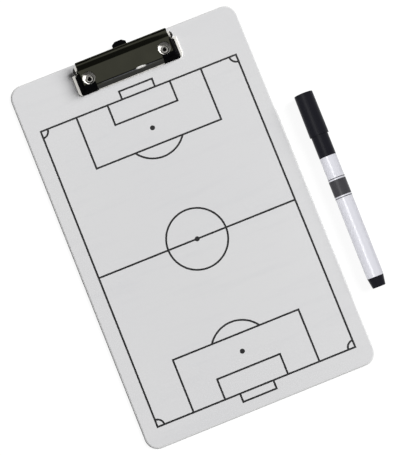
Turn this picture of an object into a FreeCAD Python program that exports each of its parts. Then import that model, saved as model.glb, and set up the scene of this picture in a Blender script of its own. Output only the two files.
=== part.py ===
import FreeCAD, Part
import math
import os
import re
import Sketcher

# A tactics board: a rounded plastic panel printed with a football pitch, a low spring clip
# riveted near its top edge, a hanging tab that slides out from under the clip, and a
# dry-erase marker that lies beside it. Sizes are in millimetres and angles in degrees.
# The origin is the centre of the panel's underside, X runs across it and +Y to the clip.

V = FreeCAD.Vector

SIZES = {
    # panel and film
    "board_width": 220,
    "board_length": 350,
    "board_thick": 3,
    "board_corner": 12,
    "edge_round": 1.3,
    "film_reveal": 0.3,
    "film_thick": 0.15,
    # printed pitch, measured to the middle of its lines
    "pitch_side": 15,
    "pitch_inset": 46.2,
    "pitch_tail": 18.8,
    "line_width": 1.7,
    "ink_thick": 0.08,
    "penalty_width": 121,
    "penalty_depth": 50,
    "goal_area_width": 60.5,
    "goal_area_depth": 19.4,
    "goal_width": 32,
    "goal_depth": 7.9,
    "spot_distance": 34.2,
    "spot_diameter": 4.5,
    "circle_radius": 27.9,
    "quadrant_radius": 6.6,
    # clip base plate; insets are measured inwards from the panel's top edge
    "base_width": 100.8,
    "base_front": 30.4,
    "base_rear": 3,
    "base_thick": 0.9,
    "base_corner": 4,
    "wing_inset": 10.4,
    "ear_margin": 1.45,
    "ear_thick": 1.8,
    # clip jaw
    "wing_reveal": 3,
    "cheek_spread": 3.6,
    "jaw_height": 9.4,
    "jaw_gap": 0.1,
    "lip_top_inset": 26.8,
    "lip_foot_inset": 29.8,
    "tray_inset": 12,
    "sheet_thick": 0.9,
    "bend_inside": 0.6,
    "valley_inset": 10,
    "lever_radius": 7.2,
    "lever_sweep": 70,
    "lever_corner": 1,
    "lug_gap": 0.4,
    "lug_margin": 1.75,
    # hinge rod and torsion springs
    "hinge_inset": 8.2,
    "rod_diameter": 2.5,
    "rod_fit": 0.06,
    "rod_head_diameter": 7,
    "rod_head_rise": 2,
    "rod_head_gap": 0.15,
    "wire_diameter": 1.2,
    "coil_clearance": 0.3,
    "coil_headroom": 0.35,
    "coil_gap": 0.5,
    "coil_turns": 4,
    "spring_inset": 14,
    "spring_leg": 5,
    "leg_gap": 0.3,
    # tubular rivets
    "rivet_margin": 13.9,
    "rivet_inset": 18.3,
    "rivet_shank": 4,
    "rivet_bore": 2.8,
    "rivet_fit": 0.05,
    "rivet_head": 7.6,
    "rivet_head_rise": 1.1,
    "rivet_foot": 7.2,
    "rivet_foot_thick": 0.8,
    "rivet_foot_round": 0.35,
    "recess_margin": 0.4,
    "recess_sink": 0.2,
    "access_diameter": 11.5,
    "access_round": 0.35,
    # hanging tab and its guides
    "tab_width": 13.4,
    "tab_thick": 1.2,
    "tab_reach": 5,
    "tab_shoulder": 2.6,
    "tab_tip_width": 6.4,
    "tab_end_round": 0.5,
    "tab_clearance": 0.25,
    "tab_travel": 12,
    "stop_width": 17.4,
    "stop_length": 2.4,
    "stop_gap": 0.3,
    "hang_hole": 6,
    "hang_setback": 8.6,
    "guide_inset": 8,
    "guide_length": 4,
    "guide_lap": 1.2,
    # corner grips
    "grip_thick": 0.7,
    "grip_length": 15.3,
    "grip_cover": 3.2,
    "grip_lap": 0.6,
    "grip_clearance": 0.3,
    # marker; its head is the cap's end, placed from the panel's side and middle
    "marker_offset": 27.1,
    "marker_head": 71.7,
    "marker_turn": 0.68,
    "barrel_diameter": 15.7,
    "barrel_wall": 1,
    "barrel_length": 115.6,
    "plug_length": 9.6,
    "plug_step": 0.25,
    "plug_taper": 3,
    "plug_spigot": 12,
    "plug_round": 0.6,
    "spigot_fit": 0.03,
    "band_setback": 37.4,
    "band_length": 14.9,
    "band_thick": 0.12,
    "ring_width": 0.7,
    "ring_gap": 1.3,
    "section_spigot": 10,
    "section_length": 24.7,
    "neck_step": 1.35,
    "neck_length": 8,
    "nose_length": 8,
    "nose_wall": 1,
    "reservoir_reach": 8,
    "socket_wall": 1.62,
    "nib_diameter": 4.6,
    "nib_length": 7,
    "nib_room": 10.6,
    "cap_overlap": 4,
    "cap_step": 1.1,
    "cap_taper": 0.6,
    "cap_fit": 0.1,
    "cap_roof": 1.5,
    "cap_round": 0.4,
    "seal_step": 2,
    "seal_roof": 0.9,
    "seal_gap": 0.3,
}

# Fits and places that several pieces share, worked out from the sizes above.
FITS = {
    "film_top": "board_thick + film_thick",
    "film_margin": "edge_round + film_reveal",
    "pitch_width": "board_width - 2 * pitch_side",
    "pitch_length": "board_length - pitch_inset - pitch_tail",
    "pitch_middle": "(pitch_tail - pitch_inset) / 2",
    "jaw_foot_width": "base_width - 2 * wing_reveal",
    "jaw_top_width": "jaw_foot_width - 2 * cheek_spread",
    "jaw_foot": "base_thick + jaw_gap",
    "cheek_lean": "cheek_spread / (jaw_height - jaw_foot)",
    "lip_lean": "(lip_foot_inset - lip_top_inset) / (jaw_height - jaw_foot)",
    "bend_radius": "bend_inside + sheet_thick",
    "coil_radius": "rod_diameter / 2 + coil_clearance + wire_diameter / 2",
    "coil_top": "coil_radius + wire_diameter / 2 + coil_headroom",
    "hinge_height": "jaw_height - sheet_thick - coil_top",
    "ear_radius": "rod_diameter / 2 + ear_margin",
    "ear_face": "jaw_top_width / 2 + lug_gap",
    "lug_radius": "rod_diameter / 2 + lug_margin",
    "rod_head_face": "ear_face + ear_thick + rod_head_gap",
    "rod_head_ball": "(rod_head_diameter ^ 2 / 4 + rod_head_rise ^ 2) / (2 * rod_head_rise)",
    "rivet_spacing": "base_width - 2 * rivet_margin",
    "guide_front": "guide_inset + guide_length",
    "guide_side": "tab_width / 2 + tab_clearance",
    "guide_roof": "base_thick + tab_thick + tab_clearance",
    "stop_inset": "guide_front + tab_travel + stop_gap",
    "barrel_end": "plug_length + barrel_length",
    "band_start": "barrel_end - band_setback",
    "section_shoulder": "barrel_end + section_length",
    "neck_end": "section_shoulder + neck_length",
    "nose_end": "neck_end + nose_length",
    "nib_tip": "nose_end + nib_length",
    "reservoir_end": "barrel_end + reservoir_reach",
    "cap_mouth": "section_shoulder - cap_overlap",
    "cap_ceiling": "nib_tip + nib_room + seal_roof",
    "cap_end": "cap_ceiling + cap_roof",
    "spigot_diameter": "barrel_diameter - 2 * barrel_wall - 2 * spigot_fit",
    "plug_root_diameter": "barrel_diameter - 2 * plug_step",
    "plug_tip_diameter": "plug_root_diameter - plug_taper",
    "reservoir_diameter": "spigot_diameter - 2 * socket_wall",
    "neck_diameter": "barrel_diameter - 2 * neck_step",
    "nose_diameter": "nib_diameter + 2 * nose_wall",
    "cap_bore": "barrel_diameter + 2 * cap_fit",
    "cap_mouth_diameter": "barrel_diameter + 2 * cap_step",
    "cap_end_diameter": "cap_mouth_diameter - cap_taper",
    "marker_tilt": "atan((cap_mouth_diameter - barrel_diameter) / 2 / (cap_mouth - plug_length))",
}

doc = FreeCAD.newDocument("tactics_board")
sheet = doc.addObject("Spreadsheet::Sheet", "dims")
for row, (name, size) in enumerate(SIZES.items(), start=1):
    sheet.set(f"A{row}", name)
    sheet.set(f"B{row}", str(size))
    sheet.setAlias(f"B{row}", name)
doc.recompute()


def formula(text):
    """Expression on the sheet for a formula written with the names of sizes and fits."""
    def swap(word):
        if word[0] in SIZES:
            return "dims." + word[0]
        if word[0] in FITS:
            return "(" + formula(FITS[word[0]]) + ")"
        return word[0]
    return re.sub(r"[a-z_]+", swap, text)


def value(text):
    """Number that a formula gives."""
    return float(sheet.evalExpression(formula(text)))


def bind(thing, **formulas):
    """Ties properties of an object to formulas; a double underscore stands for a dot."""
    for name, text in formulas.items():
        thing.setExpression(name.replace("__", "."), formula(text))


def place(thing, x="0", y="0", z="0"):
    bind(thing, Placement__Base__x=x, Placement__Base__y=y, Placement__Base__z=z)


# Sketches and features

def new_body(label):
    body = doc.addObject("PartDesign::Body", label)
    body.Label = label
    return body


def origin_plane(body, role):
    return [part for part in body.Origin.OriginFeatures if part.Role == role][0]


def attach(thing, body, plane, offset="0"):
    """Lays a sketch or primitive on one of its body's planes, or parallel to it."""
    thing.AttachmentSupport = (origin_plane(body, plane), [""])
    thing.MapMode = "FlatFace"
    bind(thing, AttachmentOffset__Base__z=offset)


def new_sketch(body, name, plane, offset):
    sketch = body.newObject("Sketcher::SketchObject", name)
    attach(sketch, body, plane, offset)
    return sketch


def fix(sketch, kind, where, text):
    """Adds one dimension to a sketch and ties it to a formula."""
    number = sketch.addConstraint(Sketcher.Constraint(kind, *where, value(text)))
    name = f"size_{number}"
    sketch.renameConstraint(number, name)
    sketch.setExpression("Constraints." + name, formula(text))


def fix_point(sketch, geometry, end, u, v):
    fix(sketch, "DistanceX", (-1, 1, geometry, end), u)
    fix(sketch, "DistanceY", (-1, 1, geometry, end), v)


def arc_between(start, end, radius):
    """Arc under a half turn from start to end, to the left for a positive radius."""
    chord = end - start
    side = V(-chord.y, chord.x, 0).normalize()
    rise = math.sqrt(max(radius ** 2 - chord.Length ** 2 / 4, 0))
    centre = (start + end) / 2 + side * math.copysign(rise, radius)
    first, last = (start, end) if radius > 0 else (end, start)
    angles = [math.atan2(point.y - centre.y, point.x - centre.x) for point in (first, last)]
    if angles[1] < angles[0]:
        angles[1] += 2 * math.pi
    return Part.ArcOfCircle(Part.Circle(centre, V(0, 0, 1), abs(radius)), *angles)


def outline(body, name, plane, corners, offset="0"):
    """Closed sketch through corners (u, v); a third entry makes the next side an arc."""
    sketch = new_sketch(body, name, plane, offset)
    points = [V(value(corner[0]), value(corner[1]), 0) for corner in corners]
    ends = []
    for here, there, corner in zip(points, points[1:] + points[:1], corners):
        radius = value(corner[2]) if len(corner) == 3 else 0
        side = arc_between(here, there, radius) if radius else Part.LineSegment(here, there)
        sketch.addGeometry(side, False)
        ends.append((1, 2) if radius >= 0 else (2, 1))
    for number, corner in enumerate(corners):
        following = (number + 1) % len(corners)
        joint = (number, ends[number][1], following, ends[following][0])
        sketch.addConstraint(Sketcher.Constraint("Coincident", *joint))
        fix_point(sketch, number, ends[number][0], corner[0], corner[1])
        if len(corner) == 3:
            fix(sketch, "Radius", (number,), corner[2].lstrip("-"))
    return sketch


def circles(body, name, plane, rounds, offset="0"):
    """Sketch of full circles (u, v, radius)."""
    sketch = new_sketch(body, name, plane, offset)
    for number, (u, v, radius) in enumerate(rounds):
        centre = V(value(u), value(v), 0)
        sketch.addGeometry(Part.Circle(centre, V(0, 0, 1), value(radius)), False)
        fix_point(sketch, number, 3, u, v)
        fix(sketch, "Radius", (number,), radius)
    return sketch


def pad(body, sketch, length, both=False):
    feature = body.newObject("PartDesign::Pad", sketch.Name + "Pad")
    feature.Profile = sketch
    feature.SideType = "Symmetric" if both else "One side"
    bind(feature, Length=length)
    doc.recompute()
    return feature


def through(body, sketch):
    """Cuts a sketch right through the body, to both sides of the sketch."""
    feature = body.newObject("PartDesign::Pocket", sketch.Name + "Cut")
    feature.Profile = sketch
    feature.Type = "ThroughAll"
    feature.SideType = "Symmetric"
    before = feature.BaseFeature.Shape.Volume
    doc.recompute()
    if feature.Shape.Volume >= before:
        raise RuntimeError(sketch.Name + " cuts nothing")
    return feature


def pocket(body, sketch, depth):
    """Cuts a sketch upwards into the body to a depth."""
    feature = body.newObject("PartDesign::Pocket", sketch.Name + "Cut")
    feature.Profile = sketch
    feature.Reversed = True
    bind(feature, Length=depth)
    before = feature.BaseFeature.Shape.Volume
    doc.recompute()
    if feature.Shape.Volume >= before:
        raise RuntimeError(sketch.Name + " cuts nothing")
    return feature


def turned(label, corners, axis="V_Axis"):
    """Body turned from a profile; V_Axis takes corners as (radius, height)."""
    body = new_body(label)
    sketch = outline(body, label + "_profile", "XZ_Plane", corners)
    feature = body.newObject("PartDesign::Revolution", label + "_turned")
    feature.Profile = sketch
    feature.ReferenceAxis = (sketch, [axis])
    doc.recompute()
    return body


def rounded_edges(body, name, feature, radius, test):
    """Fillets the edges whose middle point passes a test."""
    names = []
    for number, edge in enumerate(feature.Shape.Edges, start=1):
        if test(edge.valueAt((edge.FirstParameter + edge.LastParameter) / 2)):
            names.append(f"Edge{number}")
    fillet = body.newObject("PartDesign::Fillet", name)
    fillet.Base = (feature, names)
    bind(fillet, Radius=radius)
    doc.recompute()
    return fillet


def mirrored(body, name, features):
    """Repeats features on the other side of the YZ plane."""
    mirror = body.newObject("PartDesign::Mirrored", name)
    mirror.Originals = features
    mirror.MirrorPlane = (origin_plane(body, "YZ_Plane"), [""])
    body.Tip = mirror
    doc.recompute()
    return mirror


def rounded_rectangle(width, length, radius):
    """Corners of a centred rectangle with quarter-round corners."""
    side, end = f"({width}) / 2", f"({length}) / 2"
    near_side, near_end = f"({side} - ({radius}))", f"({end} - ({radius}))"
    return [
        ("-" + near_side, "-" + end),
        (near_side, "-" + end, radius),
        (side, "-" + near_end),
        (side, near_end, radius),
        (near_side, end),
        ("-" + near_side, end, radius),
        ("-" + side, near_end),
        ("-" + side, "-" + near_end, radius),
    ]


RIVET_SIDES = ("rivet_spacing / 2", "-rivet_spacing / 2")
RIVET_LINE = "board_length / 2 - rivet_inset"


# Panel, film and printed pitch

def make_board_panel():
    """Rounded panel with bullnose edges and two recesses below for the rivets' feet."""
    body = new_body("board_panel")
    corners = rounded_rectangle("board_width", "board_length", "board_corner")
    slab = pad(body, outline(body, "panel_outline", "XY_Plane", corners), "board_thick")
    middle = value("board_thick / 2")
    flat = 1e-6
    rounded_edges(body, "panel_edges", slab, "min(edge_round; board_thick * 0.45)",
                  lambda point: abs(abs(point.z - middle) - middle) < flat)
    holes = [(x, RIVET_LINE, "rivet_shank / 2 + rivet_fit") for x in RIVET_SIDES]
    through(body, circles(body, "panel_rivet_holes", "XY_Plane", holes))
    recesses = [(x, RIVET_LINE, "rivet_foot / 2 + recess_margin") for x in RIVET_SIDES]
    pocket(body, circles(body, "panel_recesses", "XY_Plane", recesses),
           "rivet_foot_thick + recess_sink")
    return body


def make_writing_film():
    """Dry-erase film laminated on the flat of the top face."""
    body = new_body("writing_film")
    corners = rounded_rectangle("board_width - 2 * film_margin", "board_length - 2 * film_margin",
                                "board_corner - film_margin")
    pad(body, outline(body, "film_outline", "XY_Plane", corners), "film_thick")
    holes = [(x, RIVET_LINE, "rivet_shank / 2 + rivet_fit") for x in RIVET_SIDES]
    through(body, circles(body, "film_rivet_holes", "XY_Plane", holes))
    place(body, z="board_thick")
    return body


def stripe(name, x, y, width, length):
    """Straight printed line, centred on a place of the pitch."""
    box = doc.addObject("Part::Box", name)
    bind(box, Length=width, Width=length, Height="ink_thick")
    place(box, f"{x} - ({width}) / 2", f"{y} - ({length}) / 2")
    return box


def disc(name, x, y, radius, angle="360 deg", turn="0 deg"):
    """Round printed patch, or a sector of one that starts at an angle from +X."""
    cylinder = doc.addObject("Part::Cylinder", name)
    bind(cylinder, Radius=radius, Height="ink_thick", Angle=angle)
    cylinder.Placement.Rotation = FreeCAD.Rotation(V(0, 0, 1), value(turn))
    bind(cylinder, Placement__Rotation__Angle=turn)
    place(cylinder, x, y)
    return cylinder


def curve(name, x, y, radius, angle="360 deg", turn="0 deg"):
    """Printed circle or arc, measured to the middle of its line."""
    ring = doc.addObject("Part::Cut", name)
    ring.Base = disc(name + "_outer", x, y, f"{radius} + line_width / 2", angle, turn)
    ring.Tool = disc(name + "_inner", x, y, f"{radius} - line_width / 2")
    return ring


def open_frame(name, end, width, depth):
    """Three sides of a box on a goal line; a negative depth puts it outside the pitch."""
    front = f"({end}) * (pitch_length / 2 - ({depth}))"
    middle = f"({end}) * (pitch_length / 2 - ({depth}) / 2)"
    reach = f"abs({depth}) + line_width"
    return [
        stripe(name + "_front", "0", front, f"{width} + line_width", "line_width"),
        stripe(name + "_left", f"-({width}) / 2", middle, "line_width", reach),
        stripe(name + "_right", f"({width}) / 2", middle, "line_width", reach),
    ]


def make_pitch_markings():
    """Football pitch printed as a thin layer of ink."""
    across, along = "pitch_width + line_width", "pitch_length + line_width"
    ink = [
        stripe("left_touchline", "-pitch_width / 2", "0", "line_width", along),
        stripe("right_touchline", "pitch_width / 2", "0", "line_width", along),
        stripe("halfway_line", "0", "0", across, "line_width"),
        curve("centre_circle", "0", "0", "circle_radius"),
        disc("centre_spot", "0", "0", "spot_diameter / 2"),
    ]
    arc_half = "acos((penalty_depth - spot_distance) / circle_radius)"
    for half, end in (("far", "1"), ("near", "-1")):
        goal_line = f"({end}) * pitch_length / 2"
        spot = f"({end}) * (pitch_length / 2 - spot_distance)"
        ink.append(stripe(half + "_goal_line", "0", goal_line, across, "line_width"))
        ink.append(disc(half + "_penalty_spot", "0", spot, "spot_diameter / 2"))
        ink.append(curve(half + "_penalty_arc", "0", spot, "circle_radius", f"2 * {arc_half}",
                         f"(180 deg + ({end}) * 90 deg) - {arc_half}"))
        ink += open_frame(half + "_penalty_area", end, "penalty_width", "penalty_depth")
        ink += open_frame(half + "_goal_area", end, "goal_area_width", "goal_area_depth")
        ink += open_frame(half + "_goal", end, "goal_width", "-goal_depth")
    quadrants = [
        ("1", "1", "180 deg"),
        ("-1", "1", "270 deg"),
        ("-1", "-1", "0 deg"),
        ("1", "-1", "90 deg"),
    ]
    for number, (side, end, turn) in enumerate(quadrants):
        ink.append(curve(f"corner_arc_{number}", f"({side}) * pitch_width / 2",
                         f"({end}) * pitch_length / 2", "quadrant_radius", "90 deg", turn))
    print_layer = doc.addObject("Part::MultiFuse", "pitch_markings")
    print_layer.Shapes = ink
    place(print_layer, y="pitch_middle", z="film_top")
    return print_layer


# Clip: its frame is the middle of the panel's top edge, on the film

def on_clip(body):
    place(body, y="board_length / 2", z="film_top")
    return body


def make_clip_base_plate():
    """Plate with wings, hinge ears turned up and hemmed double, and two lanced tab guides."""
    body = on_clip(new_body("clip_base_plate"))
    wing, ear = "base_width / 2", "(ear_face + ear_thick)"
    plate = [
        (f"base_corner - {wing}", "-base_front"),
        (f"{wing} - base_corner", "-base_front", "base_corner"),
        (wing, "base_corner - base_front"),
        (wing, "-wing_inset"),
        (ear, "-wing_inset"),
        (ear, "-base_rear"),
        ("-" + ear, "-base_rear"),
        ("-" + ear, "-wing_inset"),
        ("-" + wing, "-wing_inset"),
        ("-" + wing, "base_corner - base_front", "base_corner"),
    ]
    pad(body, outline(body, "plate_outline", "XY_Plane", plate), "base_thick")
    upright = [
        ("-hinge_inset - ear_radius", "0"),
        ("ear_radius - hinge_inset", "0"),
        ("ear_radius - hinge_inset", "hinge_height", "ear_radius"),
        ("-hinge_inset", "hinge_height + ear_radius", "ear_radius"),
        ("-hinge_inset - ear_radius", "hinge_height"),
    ]
    sketch = outline(body, "ear_outline", "YZ_Plane", upright, "ear_face")
    ears = pad(body, sketch, "ear_thick")
    outside, lap = "guide_side + base_thick", "tab_width / 2 - guide_lap"
    hook = [
        ("guide_side", "0"),
        (outside, "0"),
        (outside, "guide_roof + base_thick"),
        (lap, "guide_roof + base_thick"),
        (lap, "guide_roof"),
        ("guide_side", "guide_roof"),
    ]
    sketch = outline(body, "guide_outline", "XZ_Plane", hook, "guide_inset")
    guides = pad(body, sketch, "guide_length")
    mirrored(body, "other_side", [ears, guides])
    bore = [("-hinge_inset", "hinge_height", "rod_diameter / 2 + rod_fit")]
    through(body, circles(body, "ear_bore", "YZ_Plane", bore))
    holes = [(x, "-rivet_inset", "rivet_shank / 2 + rivet_fit") for x in RIVET_SIDES]
    through(body, circles(body, "base_rivet_holes", "XY_Plane", holes))
    return body


def cheek_at(height, grow):
    """Half width across the cheeks at a height; grow moves the faces outwards."""
    return (f"jaw_foot_width / 2 - cheek_lean * (({height}) - jaw_foot)"
            f" + ({grow}) * sqrt(1 + cheek_lean ^ 2)")


def lip_at(height, grow):
    """Inset of the lip's face at a height; grow moves the face outwards."""
    return (f"lip_foot_inset - lip_lean * (({height}) - jaw_foot)"
            f" + ({grow}) * sqrt(1 + lip_lean ^ 2)")


def tray_block(body, name, kind, grow, foot, rear):
    """Wedge of the jaw's tray, grown outwards, between a foot height and its plate."""
    wedge = body.newObject("PartDesign::" + kind, name)
    attach(wedge, body, "XZ_Plane")
    top = f"jaw_height + ({grow})"
    bind(wedge, Ymin=foot, Ymax=top, Zmin=rear, Z2min=rear,
         Xmin=f"-({cheek_at(foot, grow)})", Xmax=cheek_at(foot, grow), Zmax=lip_at(foot, grow),
         X2min=f"-({cheek_at(top, grow)})", X2max=cheek_at(top, grow), Z2max=lip_at(top, grow))
    doc.recompute()
    near, back = value("sheet_thick / 50"), value("-tray_inset")

    def is_bend(point):
        faces = (point.z - value(top),
                 abs(point.x) - value(cheek_at(str(point.z), grow)),
                 point.y + value(lip_at(str(point.z), grow)))
        met = sum(abs(distance) < near for distance in faces)
        return met >= 2 and point.y < back - near
    return rounded_edges(body, name + "_bends", wedge, f"bend_radius + ({grow})", is_bend)


def tray_shell(body, outside, inside):
    """Sheet of the tray between two grown wedges, open below and behind."""
    tray_block(body, "skin", "AdditiveWedge", outside, "jaw_foot", "tray_inset")
    return tray_block(body, "hollow", "SubtractiveWedge", inside, "jaw_foot - sheet_thick",
                      "tray_inset - sheet_thick")


def make_clip_jaw():
    """Pressed jaw: tray with lip and cheeks, curled thumb lever and lugs bent down beside it."""
    body = on_clip(new_body("clip_jaw"))
    tray_shell(body, "0", "-sheet_thick")

    def on_curl(radius):
        return (f"({radius}) * sin(lever_sweep) - valley_inset",
                f"jaw_height + lever_radius - ({radius}) * cos(lever_sweep)")
    under = "lever_radius + sheet_thick"
    join = "-tray_inset"
    strip = [
        (join, "jaw_height - sheet_thick"),
        ("-valley_inset", "jaw_height - sheet_thick", under),
        on_curl(under),
        (*on_curl("lever_radius"), "-lever_radius"),
        ("-valley_inset", "jaw_height"),
        (join, "jaw_height"),
    ]
    lever = pad(body, outline(body, "lever_profile", "YZ_Plane", strip), "jaw_top_width", both=True)
    end_y, end_z = (value(text) for text in on_curl("lever_radius + sheet_thick / 2"))
    half_width, near = value("jaw_top_width / 2"), value("sheet_thick / 10")
    rounded_edges(body, "lever_corners", lever, "lever_corner",
                  lambda point: (point - V(point.x, end_y, end_z)).Length < near
                  and abs(abs(point.x) - half_width) < near)

    low, high = "hinge_height - lug_radius", "hinge_height + lug_radius"
    in_plate = "jaw_height - sheet_thick / 2"
    in_curl = ("jaw_height + lever_radius - sqrt((lever_radius + sheet_thick / 2) ^ 2"
               " - (valley_inset - hinge_inset) ^ 2)")
    flange = [
        (join, low),
        ("-hinge_inset", low, "lug_radius"),
        ("lug_radius - hinge_inset", "hinge_height", "lug_radius"),
        ("-hinge_inset", high),
        ("-hinge_inset", in_curl),
        ("-valley_inset", in_plate),
        (join, in_plate),
    ]
    sketch = outline(body, "lug_outline", "YZ_Plane", flange, "jaw_top_width / 2 - sheet_thick")
    mirrored(body, "other_lug", [pad(body, sketch, "sheet_thick")])
    bore = [("-hinge_inset", "hinge_height", "rod_diameter / 2 + rod_fit")]
    through(body, circles(body, "lug_bore", "YZ_Plane", bore))
    holes = [(x, "-rivet_inset", "access_diameter / 2") for x in RIVET_SIDES]
    opened = through(body, circles(body, "access_holes", "XY_Plane", holes))
    top, hole_radius = value("jaw_height"), value("access_diameter / 2")
    centres = [V(value(x), -value("rivet_inset"), top) for x in RIVET_SIDES]
    rounded_edges(body, "access_rims", opened, "access_round",
                  lambda point: any(abs((point - centre).Length - hole_radius) < near
                                    and abs(point.z - top) < near for centre in centres))
    return body


def make_corner_grip(label, side):
    """Boot over one cheek of the jaw and the front corner next to it."""
    body = on_clip(new_body(label))
    tray_shell(body, "grip_thick", "0")
    inner = f"({side}) * (jaw_foot_width / 2 - grip_length)"
    edge = f"({side}) * (jaw_top_width / 2 - grip_lap)"
    rear, far_in = "-lip_top_inset + grip_cover", f"({side}) * -jaw_foot_width"
    spare = [
        (far_in, "-2 * lip_foot_inset"),
        (inner, "-2 * lip_foot_inset"),
        (inner, rear),
        (edge, rear),
        (edge, "0"),
        (far_in, "0"),
    ]
    through(body, outline(body, label + "_trim", "XY_Plane", spare))
    hole = [(f"({side}) * rivet_spacing / 2", "-rivet_inset", "access_diameter / 2 + grip_clearance")]
    through(body, circles(body, label + "_notch", "XY_Plane", hole))
    return body


def make_hinge_rod():
    """Rod along X with a domed head outside each ear."""
    face, tip = "rod_head_face", "rod_head_face + rod_head_rise"
    head, stem = "rod_head_diameter / 2", "rod_diameter / 2"
    body = turned("hinge_rod", [
        (f"-({tip})", "0"),
        (tip, "0", "rod_head_ball"),
        (face, head),
        (face, stem),
        (f"-{face}", stem),
        (f"-{face}", head, "rod_head_ball"),
    ], axis="H_Axis")
    place(body, y="board_length / 2 - hinge_inset", z="film_top + hinge_height")
    return body


def tangent_arc(start, corner, end):
    """Arc from start to end whose tangents meet at a corner."""
    middle = (start + end) / 2
    half = (corner - start).getAngle(end - start)
    return Part.Arc(start, middle + (corner - middle) * (math.tan(half / 2) / math.tan(half)), end)


def biarc(start, leaving, end, arriving):
    """Two arcs that leave start in one direction and reach end in another."""
    span = end - start
    bend = 2 * (1 - leaving.dot(arriving))
    along = span.dot(leaving + arriving)
    reach = (math.sqrt(along ** 2 + bend * span.dot(span)) - along) / bend
    first, last = start + leaving * reach, end - arriving * reach
    joint = (first + last) / 2
    return [tangent_arc(start, first, joint), tangent_arc(joint, last, end)]


def least_gap(path, apart, wire):
    """Least clear distance between stretches of a wire that lie apart along it."""
    step = wire / 4
    points = path.discretize(Distance=step)
    skip = int(apart / step)
    return min((points[i] - points[j]).Length - wire
               for i in range(len(points)) for j in range(i + skip, len(points)))


def make_spring(label, side):
    """Torsion spring on the rod; its legs bear on the base plate and under the lever."""
    wire, radius = value("wire_diameter"), value("coil_radius")
    pitch = wire + value("coil_gap")
    leg = value("spring_leg")
    seat = value("hinge_height - base_thick - leg_gap") - wire / 2
    droop = math.atan2(leg, radius) - math.acos(seat / math.hypot(leg, radius))
    curl_y = value("hinge_inset - valley_inset")
    curl_z = value("jaw_height + lever_radius - hinge_height")
    reach = value("lever_radius + sheet_thick + leg_gap") + wire / 2 + radius
    rise = math.atan2(-curl_y, curl_z) + math.acos(reach / math.hypot(curl_y, curl_z))
    start = -math.pi / 2 - droop
    total = 2 * math.pi * value("coil_turns + 1") - math.pi - droop - rise
    climb = pitch / (2 * math.pi)

    def on_coil(turn):
        angle = start - turn
        point = V(side * (value("spring_inset") + climb * turn),
                  radius * math.cos(angle), radius * math.sin(angle))
        way = V(side * climb, radius * math.sin(angle), -radius * math.cos(angle))
        return point, way.normalize()
    count = math.ceil(total / (math.pi / 2))
    stations = [on_coil(total * number / count) for number in range(count + 1)]
    first, last = stations[0], stations[-1]
    free_end = first[0] - first[1] * leg
    sides = [Part.LineSegment(free_end, first[0])]
    for here, there in zip(stations, stations[1:]):
        sides += biarc(*here, *there)
    sides.append(Part.LineSegment(last[0], last[0] + last[1] * leg))
    path = Part.Wire([edge.toShape() for edge in sides])
    section = Part.Wire(Part.Circle(free_end, first[1], wire / 2).toShape())
    feature = doc.addObject("Part::Feature", label)
    feature.Shape = path.makePipeShell([section], True, False)
    place(feature, y="board_length / 2 - hinge_inset", z="film_top + hinge_height")
    print(f"{label}: least gap {least_gap(path, math.pi * radius, wire):.2f} mm")
    return feature


def make_rivet(label, side):
    """Tubular rivet: rolled head on the base plate, flat foot in the panel's recess."""
    bore, shank = "rivet_bore / 2", "rivet_shank / 2"
    crown = "rivet_head / 2 - rivet_head_rise"
    sole = "-film_top + recess_sink"
    body = turned(label, [
        (bore, sole),
        ("rivet_foot / 2 - rivet_foot_round", sole, "rivet_foot_round"),
        ("rivet_foot / 2", f"{sole} + rivet_foot_round"),
        ("rivet_foot / 2", f"{sole} + rivet_foot_thick"),
        (shank, f"{sole} + rivet_foot_thick"),
        (shank, "base_thick"),
        ("rivet_head / 2", "base_thick", "rivet_head_rise"),
        (crown, "base_thick + rivet_head_rise", f"({crown} - {bore})"),
        (bore, f"base_thick + rivet_head_rise - ({crown} - {bore})"),
    ])
    place(body, f"({side}) * rivet_spacing / 2", "board_length / 2 - rivet_inset", "film_top")
    return body


def make_hanger_tab():
    """Flat tab with a tapered end, a hanging hole and a wide inner end that the guides stop."""
    body = on_clip(new_body("hanger_tab"))
    half, tip, stop = "tab_width / 2", "tab_tip_width / 2", "stop_width / 2"
    inner = "-stop_inset - stop_length"
    flat = [
        (f"-{stop}", inner),
        (stop, inner),
        (stop, "-stop_inset"),
        (half, "-stop_inset"),
        (half, "tab_shoulder"),
        (tip, "tab_reach"),
        (f"-{tip}", "tab_reach"),
        (f"-{half}", "tab_shoulder"),
        (f"-{half}", "-stop_inset"),
        (f"-{stop}", "-stop_inset"),
    ]
    strip = pad(body, outline(body, "tab_outline", "XY_Plane", flat, "base_thick"), "tab_thick")
    near, middle = value("tab_thick / 10"), value("base_thick + tab_thick / 2")
    rounded_edges(body, "tab_corners", strip, "tab_end_round",
                  lambda point: point.y > 0 and abs(point.z - middle) < near)
    hole = [("0", "tab_reach - hang_setback", "hang_hole / 2")]
    through(body, circles(body, "tab_hole", "XY_Plane", hole))
    return body


# Marker: its frame has Z along the pen from the plug end. The pen lies tilted on the table,
# because the cap is wider than the barrel, and turned a little towards the panel

def on_marker(thing):
    thing.Placement.Rotation = FreeCAD.Rotation(V(-1, 0, 0), 90)
    bind(thing, Placement__Rotation__Axis__x="-cos(marker_turn)",
         Placement__Rotation__Axis__y="sin(marker_turn)",
         Placement__Rotation__Angle="90 deg - marker_tilt")
    place(thing,
          "board_width / 2 + marker_offset - cap_end * cos(marker_tilt) * sin(marker_turn)",
          "marker_head - cap_end * cos(marker_tilt) * cos(marker_turn)",
          "barrel_diameter / 2 * cos(marker_tilt) - plug_length * sin(marker_tilt)")
    return thing


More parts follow.
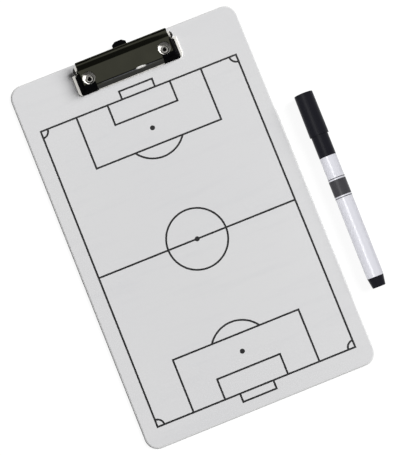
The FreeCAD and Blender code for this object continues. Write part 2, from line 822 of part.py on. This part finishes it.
def make_marker_end_plug():
    tip, root = "plug_tip_diameter / 2", "plug_root_diameter / 2"
    return on_marker(turned("marker_end_plug", [
        ("0", "0"),
        (f"{tip} - plug_round", "0", "plug_round"),
        (tip, "plug_round"),
        (root, "plug_length"),
        ("spigot_diameter / 2", "plug_length"),
        ("spigot_diameter / 2", "plug_length + plug_spigot"),
        ("0", "plug_length + plug_spigot"),
    ]))


def make_marker_barrel():
    outer, inner = "barrel_diameter / 2", "barrel_diameter / 2 - barrel_wall"
    return on_marker(turned("marker_barrel", [
        (inner, "plug_length"),
        (outer, "plug_length"),
        (outer, "barrel_end"),
        (inner, "barrel_end"),
    ]))


def sleeve(name, start, length):
    """Thin printed ring round the barrel."""
    ring = doc.addObject("Part::Cut", name)
    ring.Base = doc.addObject("Part::Cylinder", name + "_outer")
    ring.Tool = doc.addObject("Part::Cylinder", name + "_inner")
    bind(ring.Base, Radius="barrel_diameter / 2 + band_thick", Height=length)
    bind(ring.Tool, Radius="barrel_diameter / 2", Height=length)
    for cylinder in (ring.Base, ring.Tool):
        place(cylinder, z=start)
    return ring


def make_marker_band():
    """Printed band with a thin ring on each side of it."""
    band = doc.addObject("Part::Compound", "marker_band")
    band.Links = [
        sleeve("band_wide", "band_start", "band_length"),
        sleeve("ring_low", "band_start - ring_gap - ring_width", "ring_width"),
        sleeve("ring_high", "band_start + band_length + ring_gap", "ring_width"),
    ]
    return on_marker(band)


def make_marker_front_section():
    """Section that plugs into the barrel and carries the neck, the nose and the nib's bore."""
    socket, bore = "reservoir_diameter / 2 + spigot_fit", "nib_diameter / 2 + spigot_fit"
    return on_marker(turned("marker_front_section", [
        (socket, "barrel_end - section_spigot"),
        ("spigot_diameter / 2", "barrel_end - section_spigot"),
        ("spigot_diameter / 2", "barrel_end"),
        ("barrel_diameter / 2", "barrel_end"),
        ("barrel_diameter / 2", "section_shoulder"),
        ("neck_diameter / 2", "section_shoulder"),
        ("neck_diameter / 2", "neck_end"),
        ("nose_diameter / 2", "nose_end"),
        (bore, "nose_end"),
        (bore, "reservoir_end"),
        (socket, "reservoir_end"),
    ]))


def make_ink_reservoir():
    start = "plug_length + plug_spigot"
    return on_marker(turned("ink_reservoir", [
        ("0", start),
        ("reservoir_diameter / 2", start),
        ("reservoir_diameter / 2", "reservoir_end"),
        ("0", "reservoir_end"),
    ]))


def make_marker_nib():
    radius = "nib_diameter / 2"
    return on_marker(turned("marker_nib", [
        ("0", "reservoir_end"),
        (radius, "reservoir_end"),
        (radius, f"nib_tip - {radius}", radius),
        ("0", "nib_tip"),
    ]))


def make_marker_cap():
    end = "cap_end_diameter / 2"
    return on_marker(turned("marker_cap", [
        ("cap_bore / 2", "cap_mouth"),
        ("cap_mouth_diameter / 2", "cap_mouth"),
        (end, "cap_end - cap_round", "cap_round"),
        (f"{end} - cap_round", "cap_end"),
        ("0", "cap_end"),
        ("0", "cap_ceiling"),
        ("cap_bore / 2", "cap_ceiling"),
    ]))


def make_cap_seal():
    """Liner pressed into the cap, which closes over the neck and nose."""
    outer, inner = "cap_bore / 2 - spigot_fit", "neck_diameter / 2 + seal_gap"
    start = "section_shoulder + seal_step"
    return on_marker(turned("cap_seal", [
        (inner, start),
        (outer, start),
        (outer, "cap_ceiling"),
        ("0", "cap_ceiling"),
        ("0", "cap_ceiling - seal_roof"),
        (inner, "cap_ceiling - seal_roof"),
    ]))


nodes = [
    make_board_panel(),
    make_writing_film(),
    make_pitch_markings(),
    make_clip_base_plate(),
    make_clip_jaw(),
    make_corner_grip("corner_grip_right", "1"),
    make_corner_grip("corner_grip_left", "-1"),
    make_hinge_rod(),
    make_spring("spring_right", 1),
    make_spring("spring_left", -1),
    make_rivet("rivet_right", "1"),
    make_rivet("rivet_left", "-1"),
    make_hanger_tab(),
    make_marker_end_plug(),
    make_marker_barrel(),
    make_marker_band(),
    make_marker_front_section(),
    make_ink_reservoir(),
    make_marker_nib(),
    make_marker_cap(),
    make_cap_seal(),
]
doc.recompute()

for thing in doc.Objects:
    if "Invalid" in thing.State or "Error" in thing.State:
        raise RuntimeError(f"{thing.Label} failed: {thing.State}")
for node in nodes:
    if node.Shape.isNull() or not node.Shape.isValid():
        raise RuntimeError(f"{node.Label} has no valid shape")

os.makedirs("parts", exist_ok=True)
for node in nodes:
    node.Shape.exportStep(f"parts/{node.Label}.step")
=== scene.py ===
import math

import bmesh
import bpy
from mathutils import Matrix, Vector


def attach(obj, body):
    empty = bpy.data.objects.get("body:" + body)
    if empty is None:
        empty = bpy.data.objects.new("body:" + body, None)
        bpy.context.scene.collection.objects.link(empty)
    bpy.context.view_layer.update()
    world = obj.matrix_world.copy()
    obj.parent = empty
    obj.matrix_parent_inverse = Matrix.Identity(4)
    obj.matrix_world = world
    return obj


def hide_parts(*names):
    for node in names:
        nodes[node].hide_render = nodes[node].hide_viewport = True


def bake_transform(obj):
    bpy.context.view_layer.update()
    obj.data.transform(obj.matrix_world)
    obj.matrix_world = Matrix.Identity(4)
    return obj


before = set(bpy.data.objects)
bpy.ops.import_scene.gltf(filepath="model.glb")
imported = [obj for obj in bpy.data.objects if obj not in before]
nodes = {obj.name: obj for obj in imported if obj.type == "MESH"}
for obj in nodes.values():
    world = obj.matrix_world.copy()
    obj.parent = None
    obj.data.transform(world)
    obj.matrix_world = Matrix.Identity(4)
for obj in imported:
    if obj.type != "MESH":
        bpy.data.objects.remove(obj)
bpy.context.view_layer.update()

# A tactics board on a white table with its marker beside it, seen from almost straight above.
# Lengths are in metres; MM turns the millimetres of a drawing into them.
MM = 0.001
PER_MM = 1000.0

IMAGE_HEIGHT = 456
FOCAL_PIXELS = 1334.63
CAMERA_PLACE = Vector((-26.3, -87.76, 1199.49)) * MM
CAMERA_AIM = Vector((13.45, -8.6, 3.0)) * MM
IMAGE_UP = Vector((0.3718, 0.9252, 0.0))
SENSOR_HEIGHT = 24.0

CLIP_TOP_EDGE = 175 * MM


def linear(hex_colour):
    """Linear RGBA of an sRGB hex colour."""
    parts = [int(hex_colour[i:i + 2], 16) / 255 for i in (1, 3, 5)]
    return (*(c / 12.92 if c <= 0.04045 else ((c + 0.055) / 1.055) ** 2.4 for c in parts), 1.0)


# Shader nodes

def node(tree, kind, inputs=(), **settings):
    """Adds a shader node; inputs maps its sockets to constants or to other nodes' outputs."""
    made = tree.nodes.new("ShaderNode" + kind)
    for name, setting in settings.items():
        setattr(made, name, setting)
    for name, source in dict(inputs).items():
        socket = next(s for s in made.inputs if s.identifier == name)
        if isinstance(source, bpy.types.NodeSocket):
            tree.links.new(source, socket)
        else:
            socket.default_value = source
    return made


def new_material(name):
    """Empty material and its node tree."""
    material = bpy.data.materials.new(name)
    material.use_nodes = True
    material.node_tree.nodes.clear()
    return material, material.node_tree


def place_on_piece(tree):
    """Where a point lies, in metres, in the piece's own coordinates."""
    return node(tree, "TexCoord").outputs["Object"]


def noise(tree, place, grain, detail):
    """Noise from 0 to 1, whose coarsest grains are so many millimetres across."""
    return node(tree, "TexNoise", {"Vector": place, "Scale": PER_MM / grain,
                                   "Detail": detail}).outputs["Fac"]


def streaks(tree, place, grains, detail):
    """Noise drawn out along an axis; grains are its millimetres along X, Y and Z."""
    drawn = node(tree, "Mapping", {"Vector": place, "Scale": [PER_MM / grain for grain in grains]})
    return node(tree, "TexNoise", {"Vector": drawn.outputs["Vector"], "Scale": 1.0,
                                   "Detail": detail}).outputs["Fac"]


def mixed(tree, share, first, second):
    """Colour between two, each of them a hex colour or another node's output."""
    first, second = (linear(end) if isinstance(end, str) else end for end in (first, second))
    return node(tree, "Mix", {"Factor_Float": share, "A_Color": first, "B_Color": second},
                data_type="RGBA").outputs["Result"]


def between(tree, share, start, end):
    """Number that is start where share is 0 and end where it is 1."""
    return node(tree, "MapRange", {"Value": share, "To Min": start,
                                   "To Max": end}).outputs["Result"]


def bumps(tree, height, depth, strength, **sockets):
    """Normal of a surface with bumps that are so many millimetres deep."""
    return node(tree, "Bump", {"Height": height, "Distance": depth * MM, "Strength": strength,
                               **sockets}).outputs["Normal"]


def soft_edges(tree, radius):
    """Normal that rounds a piece's edges by so many millimetres."""
    return node(tree, "Bevel", {"Radius": radius * MM}, samples=4).outputs["Normal"]


def close(material, **sockets):
    """Gives a material its surface, with underscores for the spaces in socket names."""
    tree = material.node_tree
    inputs = {name.replace("_", " "): source for name, source in sockets.items()}
    surface = node(tree, "BsdfPrincipled", inputs)
    node(tree, "OutputMaterial", {"Surface": surface.outputs["BSDF"]})
    return material


# Materials of the board

def white_pvc_sheet():
    """Extruded PVC foam sheet: chalky white edges with a faint orange peel."""
    material, tree = new_material("white_pvc_sheet")
    place = place_on_piece(tree)
    cloud = noise(tree, place, grain=35, detail=3.0)
    peel = noise(tree, place, grain=0.9, detail=2.0)
    return close(material, Base_Color=mixed(tree, cloud, "#D3D3D4", "#DEDEDD"), Roughness=0.42,
                 IOR=1.53, Normal=bumps(tree, peel, depth=0.04, strength=0.5))


def dry_erase_film():
    """Laminated dry-erase film: cool white gloss with the grey haze that wiping leaves."""
    material, tree = new_material("dry_erase_film")
    place = place_on_piece(tree)
    cloud = noise(tree, place, grain=120, detail=2.0)
    wiping = node(tree, "Mapping", {"Vector": place, "Rotation": (0, 0, math.radians(24)),
                                    "Scale": (PER_MM / 70, PER_MM / 9, PER_MM / 9)})
    haze = node(tree, "TexNoise", {"Vector": wiping.outputs["Vector"], "Scale": 1.0, "Detail": 5.0,
                                   "Roughness": 0.62}).outputs["Fac"]
    wiped = node(tree, "MapRange", {"Value": haze, "From Min": 0.52, "From Max": 0.8,
                                    "To Max": 0.18}).outputs["Result"]
    clean = mixed(tree, cloud, "#D8D8DA", "#DCDCDC")
    return close(material, Base_Color=mixed(tree, wiped, clean, "#C4C5C9"), IOR=1.5,
                 Roughness=between(tree, haze, 0.3, 0.42))


def screen_print_ink():
    """Screen-printed black ink: dense, half matt, a little uneven along the lines."""
    material, tree = new_material("screen_print_ink")
    density = noise(tree, place_on_piece(tree), grain=3, detail=3.0)
    return close(material, Base_Color=mixed(tree, density, "#141415", "#222223"), Roughness=0.5,
                 IOR=1.5)


# Materials of the clip

# Middle and half size, in millimetres, of the place on the front bend painted dull white as a glint,
# standing in for a highlight; of the strip along the top of the lip painted paler as a reflection of
# the board; of the lip below, which is darker towards its foot; and of the base plate around the
# right rivet, scratched by the tool that set it.
PAINTED_GLINT = ((10.8, 148.4, 12.2), (5.4, 1.3, 1.6))
PAINTED_LIP_REFLECTION = ((0.0, 148.3, 11.7), (36.0, 0.8, 1.2))
DARKER_LIP_FOOT = ((0.0, 146.2, 7.4), (60.0, 2.0, 4.6))
SCRATCHED = ((36.5, 156.7, 5.0), (8.2, 8.2, 6.0))

# Each oval ends raggedly: noise is added to the distance from its middle, in half sizes, and the
# mask fades out over a range of the sum.
SCUFF_GRAIN = 1.1
SCUFF_SHARE = 0.9
FADE_BEGINS = 1.2
FADE_ENDS = 1.45


def ragged_oval(tree, place, oval):
    """Mask of an oval place with ragged edges, 1 inside it and 0 outside."""
    middle, half = oval
    inward = node(tree, "Mapping", {"Vector": place, "Scale": [PER_MM / size for size in half],
                                    "Location": [-at / size for at, size in zip(middle, half)]})
    reach = node(tree, "VectorMath", {"Vector": inward.outputs["Vector"]}, operation="LENGTH")
    scuff = noise(tree, place, grain=SCUFF_GRAIN, detail=3.0)
    ragged = node(tree, "Math", {"Value": scuff, "Value_001": SCUFF_SHARE,
                                 "Value_002": reach.outputs["Value"]}, operation="MULTIPLY_ADD")
    return node(tree, "MapRange", {"Value": ragged.outputs["Value"], "From Min": FADE_ENDS,
                                   "From Max": FADE_BEGINS}).outputs["Result"]


def black_nickel():
    """Black nickel plate on rolled steel: a deep olive-grey mirror with fine rolling marks
    across the clip and the faint smears of handling. A patch on the front bend is painted dull white
    as a glint, a paler strip along the top of the lip is a painted reflection of the board, and the
    lip is darker towards its foot."""
    material, tree = new_material("black_nickel")
    place = place_on_piece(tree)
    smear = noise(tree, place, grain=14, detail=4.0)
    plated = mixed(tree, smear, "#34342D", "#3E3E35")
    # The lip is darker towards its foot.
    darker_foot = mixed(tree, ragged_oval(tree, place, DARKER_LIP_FOOT), plated, "#2A2A26")
    # Painted reflection: the top of the lip is paler, as where it mirrors the board.
    lip_reflection = mixed(tree, ragged_oval(tree, place, PAINTED_LIP_REFLECTION), darker_foot, "#56575A")
    # Painted glint: a dull white patch on the front bend standing in for a highlight.
    glint = ragged_oval(tree, place, PAINTED_GLINT)
    polished = between(tree, smear, 0.05, 0.1)
    rolling = streaks(tree, place, grains=(18, 0.3, 0.3), detail=2.0)
    return close(material, Base_Color=mixed(tree, glint, lip_reflection, "#F2F1EE"),
                 Metallic=between(tree, glint, 1.0, 0.15),
                 Roughness=between(tree, glint, polished, 0.5),
                 Normal=bumps(tree, rolling, depth=0.003, strength=0.5,
                              Normal=soft_edges(tree, 0.25)))


def nickel_plate(name, darkest, palest, smoothest, dullest, scratched):
    """Nickel plate on rolled steel: warm silver, with hairlines from rolling and a little
    dulling. The base plate is satin, and duller where it is scratched around the rivets; the
    rivets are a little darker and smoother."""
    material, tree = new_material(name)
    place = place_on_piece(tree)
    dull = noise(tree, place, grain=6, detail=4.0)
    satin = between(tree, dull, smoothest, dullest)
    mirrored = node(tree, "VectorMath", {"Vector": place}, operation="ABSOLUTE").outputs["Vector"]
    rolling = streaks(tree, place, grains=(12, 0.25, 0.25), detail=2.0)
    return close(material, Base_Color=mixed(tree, dull, darkest, palest), Metallic=1.0,
                 Roughness=between(tree, ragged_oval(tree, mirrored, SCRATCHED), satin, scratched),
                 Normal=bumps(tree, rolling, depth=0.006, strength=0.4,
                              Normal=soft_edges(tree, 0.2)))


def drawn_steel_rod():
    """Blackened cold-drawn steel rod: dark grey, with die lines along its length."""
    material, tree = new_material("drawn_steel_rod")
    lines = streaks(tree, place_on_piece(tree), grains=(20, 0.2, 0.2), detail=3.0)
    return close(material, Base_Color=mixed(tree, lines, "#161615", "#2C2B2A"), Metallic=1.0,
                 Roughness=between(tree, lines, 0.35, 0.5))


def spring_wire():
    """Oil-tempered spring wire: dark blue-grey with brighter rubbed spots."""
    material, tree = new_material("spring_wire")
    rubbed = noise(tree, place_on_piece(tree), grain=1.2, detail=3.0)
    return close(material, Base_Color=mixed(tree, rubbed, "#55585C", "#9A9A98"), Metallic=1.0,
                 Roughness=between(tree, rubbed, 0.45, 0.25))


def moulded_rubber():
    """Moulded black rubber: matt and finely stippled, greyer where it has been handled."""
    material, tree = new_material("moulded_rubber")
    place = place_on_piece(tree)
    rub = noise(tree, place, grain=4, detail=3.0)
    stipple = node(tree, "TexVoronoi", {"Vector": place, "Scale": PER_MM / 0.45})
    return close(material, Base_Color=mixed(tree, rub, "#060607", "#0B0B0C"), Roughness=0.7,
                 IOR=1.52, Specular_IOR_Level=0.008,
                 Normal=bumps(tree, stipple.outputs["Distance"], depth=0.03, strength=0.5))


def black_abs():
    """Moulded black ABS: satin, with the fine spark texture of its mould."""
    material, tree = new_material("black_abs")
    place = place_on_piece(tree)
    cloud = noise(tree, place, grain=8, detail=3.0)
    spark = noise(tree, place, grain=0.3, detail=2.0)
    return close(material, Base_Color=mixed(tree, cloud, "#030304", "#070708"), Roughness=0.5,
                 IOR=1.54, Specular_IOR_Level=0.03,
                 Normal=bumps(tree, spark, depth=0.02, strength=0.5))


# Materials of the marker

def black_polypropylene():
    """Moulded polypropylene, bluish black: soft satin streaks and faint flow lines."""
    material, tree = new_material("black_polypropylene")
    lines = streaks(tree, place_on_piece(tree), grains=(1.5, 25, 1.5), detail=3.0)
    return close(material, Base_Color=mixed(tree, lines, "#0E0E16", "#17171F"),
                 Roughness=between(tree, lines, 0.3, 0.42), IOR=1.49, Specular_IOR_Level=0.1)


def white_polypropylene():
    """Moulded white polypropylene: cool gloss with faint flow lines."""
    material, tree = new_material("white_polypropylene")
    lines = streaks(tree, place_on_piece(tree), grains=(1.8, 60, 1.8), detail=2.0)
    return close(material, Base_Color=mixed(tree, lines, "#D5D5DD", "#DFDFE6"),
                 Roughness=between(tree, lines, 0.24, 0.34), IOR=1.49, Coat_Weight=0.3,
                 Coat_Roughness=0.15)


def band_print():
    """Pad-printed band: dark grey ink with the fine speckle of the printing pad."""
    material, tree = new_material("band_print")
    speckle = noise(tree, place_on_piece(tree), grain=0.8, detail=2.0)
    return close(material, Base_Color=mixed(tree, speckle, "#343337", "#414044"), Roughness=0.4,
                 IOR=1.5, Specular_IOR_Level=0.2)


def inked_fibre():
    """Pressed polyester fibre soaked with black ink: a fine dark felt."""
    material, tree = new_material("inked_fibre")
    fibres = streaks(tree, place_on_piece(tree), grains=(0.25, 3, 0.25), detail=4.0)
    return close(material, Base_Color=mixed(tree, fibres, "#0B0B0D", "#26262A"), Roughness=0.85,
                 Normal=bumps(tree, fibres, depth=0.05, strength=0.7))


def natural_polyethylene():
    """Undyed polyethylene liner: milky and waxy."""
    material, tree = new_material("natural_polyethylene")
    cloud = noise(tree, place_on_piece(tree), grain=5, detail=3.0)
    return close(material, Base_Color=mixed(tree, cloud, "#C9CACB", "#DADBDA"), Roughness=0.5,
                 IOR=1.51)


rivet_nickel = nickel_plate("bright_nickel", darkest="#B6B4AF", palest="#CCCAC5", smoothest=0.16,
                            dullest=0.28, scratched=0.28)
base_nickel = nickel_plate("satin_nickel", darkest="#C4C2BD", palest="#D6D4CF", smoothest=0.2,
                           dullest=0.28, scratched=0.6)
rubber, wire = moulded_rubber(), spring_wire()
marker_black, fibre = black_polypropylene(), inked_fibre()
FINISHES = {
    "board_panel": white_pvc_sheet(),
    "writing_film": dry_erase_film(),
    "pitch_markings": screen_print_ink(),
    "clip_base_plate": base_nickel,
    "clip_jaw": black_nickel(),
    "corner_grip_left": rubber,
    "corner_grip_right": rubber,
    "hinge_rod": drawn_steel_rod(),
    "spring_left": wire,
    "spring_right": wire,
    "rivet_left": rivet_nickel,
    "rivet_right": rivet_nickel,
    "hanger_tab": black_abs(),
    "marker_end_plug": marker_black,
    "marker_barrel": white_polypropylene(),
    "marker_band": band_print(),
    "marker_front_section": marker_black,
    "ink_reservoir": fibre,
    "marker_nib": fibre,
    "marker_cap": marker_black,
    "cap_seal": natural_polyethylene(),
}
for name, material in FINISHES.items():
    nodes[name].data.materials.clear()
    nodes[name].data.materials.append(material)


# Stubs of the rivets' mandrels, broken off inside their bores; their steel is painted dark as the
# shade down the bores

RIVET_PLACES = {"left": -36.5 * MM, "right": 36.5 * MM}
RIVET_LINE = CLIP_TOP_EDGE - 18.3 * MM
STUB_RADIUS = 1.36 * MM
STUB_FOOT = 0.6 * MM
STUB_TOP = 3.2 * MM
STUB_SIDES = 32

# Steps of the torn top, inward and upward, as shares of the stub's radius.
TORN_STEPS = ((0.35, 0.3), (0.3, -0.2))


def bore_shade_steel():
    """Grainy steel, painted dark as the shade down the rivet bores."""
    material, tree = new_material("bore_shade_steel")
    grain = noise(tree, place_on_piece(tree), grain=0.35, detail=4.0)
    return close(material, Base_Color=mixed(tree, grain, "#1C1C1C", "#4A4947"), Metallic=1.0,
                 Roughness=0.55, Normal=bumps(tree, grain, depth=0.12, strength=0.8))


def mandrel_stub(side, material):
    """Short round stub with a torn cone on top."""
    mesh = bpy.data.meshes.new("mandrel_stub_" + side)
    shape = bmesh.new()
    bmesh.ops.create_circle(shape, cap_ends=True, radius=STUB_RADIUS, segments=STUB_SIDES)
    raised = bmesh.ops.extrude_face_region(shape, geom=shape.faces[:])
    top = [part for part in raised["geom"] if isinstance(part, bmesh.types.BMVert)]
    bmesh.ops.translate(shape, vec=(0, 0, STUB_TOP - STUB_FOOT), verts=top)
    face = next(part for part in raised["geom"] if isinstance(part, bmesh.types.BMFace))
    for inward, upward in TORN_STEPS:
        bmesh.ops.inset_region(shape, faces=[face], thickness=inward * STUB_RADIUS,
                               depth=upward * STUB_RADIUS)
    bmesh.ops.translate(shape, vec=(RIVET_PLACES[side], RIVET_LINE, STUB_FOOT), verts=shape.verts)
    bmesh.ops.recalc_face_normals(shape, faces=shape.faces)
    shape.to_mesh(mesh)
    shape.free()
    mesh.materials.append(material)
    stub = bpy.data.objects.new(mesh.name, mesh)
    bpy.context.scene.collection.objects.link(stub)
    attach(stub, "board")


stub_steel = bore_shade_steel()
for side in RIVET_PLACES:
    mandrel_stub(side, stub_steel)


# Torsion springs, copied from the CAD springs, which are hidden


def wound_spring(name):
    """A copy of the CAD spring's own shape, on one side of the clip, in place of the hidden
    original.
    """
    spring = bpy.data.objects.new("wound_" + name, nodes[name].data.copy())
    bpy.context.scene.collection.objects.link(spring)
    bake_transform(spring)
    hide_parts(name)


wound_spring("spring_left")
wound_spring("spring_right")


# Table

def flat_card(name, half_width, half_length, place, material):
    """Level rectangle that isn't part of the object."""
    mesh = bpy.data.meshes.new(name)
    shape = bmesh.new()
    bmesh.ops.create_grid(shape, x_segments=1, y_segments=1, size=1.0)
    bmesh.ops.scale(shape, vec=(half_width, half_length, 1.0), verts=shape.verts)
    bmesh.ops.translate(shape, vec=place, verts=shape.verts)
    shape.to_mesh(mesh)
    shape.free()
    mesh.materials.append(material)
    card = bpy.data.objects.new(name, mesh)
    bpy.context.scene.collection.objects.link(card)
    return card


def rays_that_see(tree):
    """1 where the camera sees a surface directly, in a gloss or through glass, and 0 elsewhere."""
    path = node(tree, "LightPath")
    gloss = node(tree, "Math", {"Value": path.outputs["Is Camera Ray"],
                                "Value_001": path.outputs["Is Glossy Ray"]}, operation="MAXIMUM")
    return node(tree, "Math", {"Value": gloss.outputs["Value"],
                               "Value_001": path.outputs["Is Transmission Ray"]},
                operation="MAXIMUM").outputs["Value"]


def white_table_top():
    """White laminate: seen directly or in the metal it is plain white and takes the shadows,
    and it throws little light back on the object's sides."""
    material, tree = new_material("white_table_top")
    pale = node(tree, "BsdfDiffuse", {"Color": linear("#616161")})
    lift = node(tree, "Emission", {"Color": linear("#FFFFFF"), "Strength": 0.93})
    white = node(tree, "AddShader", {"Shader": pale.outputs["BSDF"],
                                     "Shader_001": lift.outputs["Emission"]})
    grey = node(tree, "BsdfDiffuse", {"Color": linear("#8C8C8C")})
    mix = node(tree, "MixShader", {"Fac": rays_that_see(tree), "Shader": grey.outputs["BSDF"],
                                   "Shader_001": white.outputs["Shader"]})
    node(tree, "OutputMaterial", {"Surface": mix.outputs["Shader"]})
    return material


def black_net():
    """Black net that lets an eighth of the light through."""
    material, tree = new_material("black_net")
    gaps = node(tree, "BsdfTransparent", {"Color": linear("#636363")})
    node(tree, "OutputMaterial", {"Surface": gaps.outputs["BSDF"]})
    return material


# The table lies a hair below the board's underside.
flat_card("table", half_width=3.0, half_length=3.0, place=(0, 0, -0.05 * MM),
          material=white_table_top())

# A black net overhead that only the gloss of the metal and plastic shows.
flag = flat_card("flag", half_width=0.137, half_length=0.55, place=(-0.064, -0.363, 0.4),
                 material=black_net())
flag.visible_camera = False
flag.visible_diffuse = False
flag.visible_transmission = False
flag.visible_shadow = False


# Lights

BOARD_MIDDLE = (0, 0, 0)
MARKER_NODES = ("marker_end_plug", "marker_barrel", "marker_band", "marker_front_section",
                "ink_reservoir", "marker_nib", "marker_cap", "cap_seal")
NICKEL_NODES = ("clip_base_plate",)

# Where the white cards stand on either side of the marker, about as high as its top.
CARD_PLACES = {"left": (0.114, -0.025, 0.017), "right": (0.164, -0.025, 0.017)}
CARD_AIM = (0.139, -0.025, 0.017)

# How bright the walls are where they only light the object, and where they are seen.
DIM_WALLS = 0.04
SEEN_WALLS = 1.0


def lamp(name, kind, place, aim, strength):
    """Lamp that faces a point."""
    data = bpy.data.lights.new(name, kind)
    data.energy = strength
    made = bpy.data.objects.new(name, data)
    made.location = place
    made.rotation_euler = (Vector(place) - Vector(aim)).to_track_quat("Z", "Y").to_euler()
    bpy.context.scene.collection.objects.link(made)
    return made


def far_light(name, place, spread, strength):
    """Even light over the whole table, as from a broad lamp far away at some place; its spread
    is in degrees."""
    made = lamp(name, "SUN", place, BOARD_MIDDLE, strength)
    made.data.angle = math.radians(spread)
    return made


def softbox(name, place, aim, width, length, watts):
    """Rectangular lamp that faces a point."""
    made = lamp(name, "AREA", place, aim, watts)
    made.data.shape = "RECTANGLE"
    made.data.size, made.data.size_y = width, length
    return made


def light_group(name, members, state):
    """Nodes that a lamp lights alone, or leaves out."""
    group = bpy.data.collections.new(name)
    for member in members:
        group.objects.link(nodes[member])
    for link in group.collection_objects:
        link.light_linking.link_state = state
    return group


all_but_marker = light_group("all_but_marker", MARKER_NODES, "EXCLUDE")
marker_alone = light_group("marker_alone", MARKER_NODES, "INCLUDE")
nickel_alone = light_group("nickel", NICKEL_NODES, "INCLUDE")

# The key comes from the right and shades the board's left side. It is kept off the marker, which
# lies in a light tent of its own, lit evenly from above and from a white card on each side, with
# one streak of gloss along it.
key = far_light("key", place=(2.0, 0.25, 1.7), spread=38, strength=4.6)
key.visible_glossy = False
key.light_linking.receiver_collection = all_but_marker
tent = far_light("tent", place=(0.0, 0.0, 2.0), spread=110, strength=2.95)
tent.visible_glossy = False
tent.light_linking.receiver_collection = marker_alone
streak = far_light("streak", place=(-0.8, 0.1, 2.0), spread=24, strength=1.4)
streak.visible_diffuse = False
streak.light_linking.receiver_collection = marker_alone
for side, place in CARD_PLACES.items():
    card = softbox("marker_card_" + side, place, CARD_AIM, width=0.22, length=0.032, watts=0.006)
    card.visible_camera = False
    card.visible_glossy = False

# Gloss from the key's side falls on the nickel plate alone, so that it leaves no streak on the
# black parts.
sheen = far_light("sheen", place=(1.5, 0.0, 2.0), spread=12, strength=9.2)
sheen.visible_diffuse = False
sheen.light_linking.receiver_collection = nickel_alone

# White walls where they are seen, directly or in the gloss, that light the object only dimly.
world = bpy.data.worlds.new("studio")
world.use_nodes = True
walls = world.node_tree
walls.nodes.clear()
level = between(walls, rays_that_see(walls), DIM_WALLS, SEEN_WALLS)
sky = node(walls, "Background", {"Color": linear("#FFFFFF"), "Strength": level})
node(walls, "OutputWorld", {"Surface": sky.outputs["Background"]})
bpy.context.scene.world = world


# Camera

back = (CAMERA_PLACE - CAMERA_AIM).normalized()
right = IMAGE_UP.cross(back).normalized()
up = back.cross(right)
facing = Matrix((right, up, back)).transposed().to_4x4()
lens = bpy.data.cameras.new("camera")
lens.sensor_fit = "VERTICAL"
lens.sensor_height = SENSOR_HEIGHT
lens.lens = FOCAL_PIXELS / IMAGE_HEIGHT * SENSOR_HEIGHT
camera = bpy.data.objects.new("camera", lens)
camera.matrix_world = Matrix.Translation(CAMERA_PLACE) @ facing
bpy.context.scene.collection.objects.link(camera)
bpy.context.scene.camera = camera
bpy.context.scene.view_settings.view_transform = "Standard"
